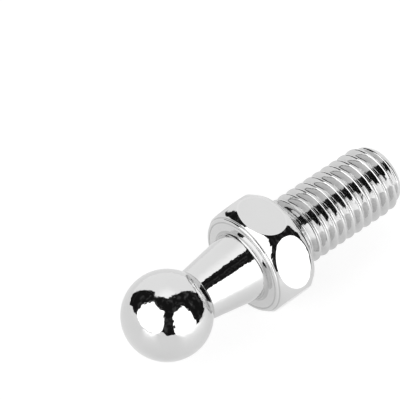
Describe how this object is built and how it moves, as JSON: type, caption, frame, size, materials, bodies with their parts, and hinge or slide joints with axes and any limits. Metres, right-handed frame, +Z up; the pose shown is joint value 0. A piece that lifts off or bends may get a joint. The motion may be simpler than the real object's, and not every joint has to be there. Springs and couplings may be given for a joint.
{
  "type": "threaded ball stud",
  "caption": "Chrome-plated ball stud: a ball on a tapered neck, a hexagon collar with oval wrench flats, and an M8 threaded end with a chamfered tip.",
  "frame": {"origin": "on the stud's axis, in the plane of the seat, which is the collar's face on the thread side", "axes": "+X along the axis out of the thread's tip, with the ball towards -X; +Z up, square to the hexagon flat that the stud lies on"},
  "size_m": [0.0362, 0.0134, 0.012],
  "materials": {
    "chrome_plate": "bright chrome plate on turned steel"
  },
  "bodies": {
    "root": {"ball_stud": "chrome_plate"}
  },
  "joints": []
}
